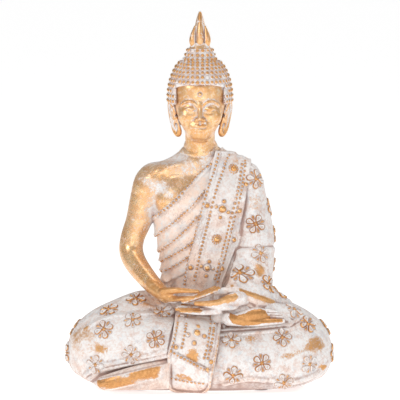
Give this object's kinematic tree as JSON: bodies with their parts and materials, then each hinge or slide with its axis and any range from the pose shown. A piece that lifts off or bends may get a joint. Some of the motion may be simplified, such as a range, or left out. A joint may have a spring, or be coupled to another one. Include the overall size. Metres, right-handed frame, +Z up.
{
  "type": "seated buddha statue",
  "caption": "Seated meditation figure with crossed legs and hands in the lap, in a beaded robe and flowered sash, with curled hair under a flame finial.",
  "frame": {"origin": "on the surface the statue stands on, under the middle of its bounding box", "axes": "+Z up, the statue faces -Y, +X towards the statue's own left knee"},
  "size_m": [0.1978, 0.1084, 0.28],
  "materials": {
    "gold_skin": "glossy metallic gold paint on cast resin",
    "gold_finial": "glossy metallic gold paint on cast resin",
    "gold_ornament": "metallic gold paint rubbed through a white wash",
    "washed_robe": "matt white wash with a pink tint over gold",
    "washed_hair": "matt white wash with gold rubbed on the tips",
    "base_resin": "unpainted cast resin",
    "felt": "self-adhesive felt"
  },
  "bodies": {
    "root": {"back_flowers": "washed_robe", "base_plate": "base_resin", "felt_pads": "felt", "finial_collar": "gold_finial", "flame_core": "gold_finial", "flame_tongues": "gold_finial", "forehead_bead": "gold_finial", "hair_cap": "washed_hair", "hair_curls": "washed_hair", "head": "gold_skin", "left_ear": "gold_skin", "left_foot": "gold_skin", "left_hand": "gold_skin", "left_leg_flowers": "washed_robe", "left_sleeve": "washed_robe", "leg_shell": "washed_robe", "neckline_beads": "gold_ornament", "pleat_beads_1": "gold_ornament", "pleat_beads_2": "gold_ornament", "pleat_beads_3": "gold_ornament", "pleat_beads_4": "gold_ornament", "right_arm": "gold_skin", "right_ear": "gold_skin", "right_foot": "gold_skin", "right_hand": "gold_skin", "right_leg_flowers": "washed_robe", "robe_wrap": "washed_robe", "sash_beads_left_inner": "gold_ornament", "sash_beads_left_outer": "gold_ornament", "sash_beads_right_inner": "gold_ornament", "sash_beads_right_outer": "gold_ornament", "sash_end": "washed_robe", "sash_end_beads_diagonal": "gold_ornament", "sash_end_beads_foot": "gold_ornament", "sash_end_beads_left_inner": "gold_ornament", "sash_end_beads_left_outer": "gold_ornament", "sash_end_beads_right_inner": "gold_ornament", "sash_end_beads_right_outer": "gold_ornament", "sash_end_domes": "gold_ornament", "sash_medallions": "gold_ornament", "sash_tail": "washed_robe", "sleeve_flowers": "washed_robe", "torso_shell": "gold_skin", "upper_sash": "washed_robe", "upper_sash_domes": "gold_ornament"}
  },
  "joints": []
}
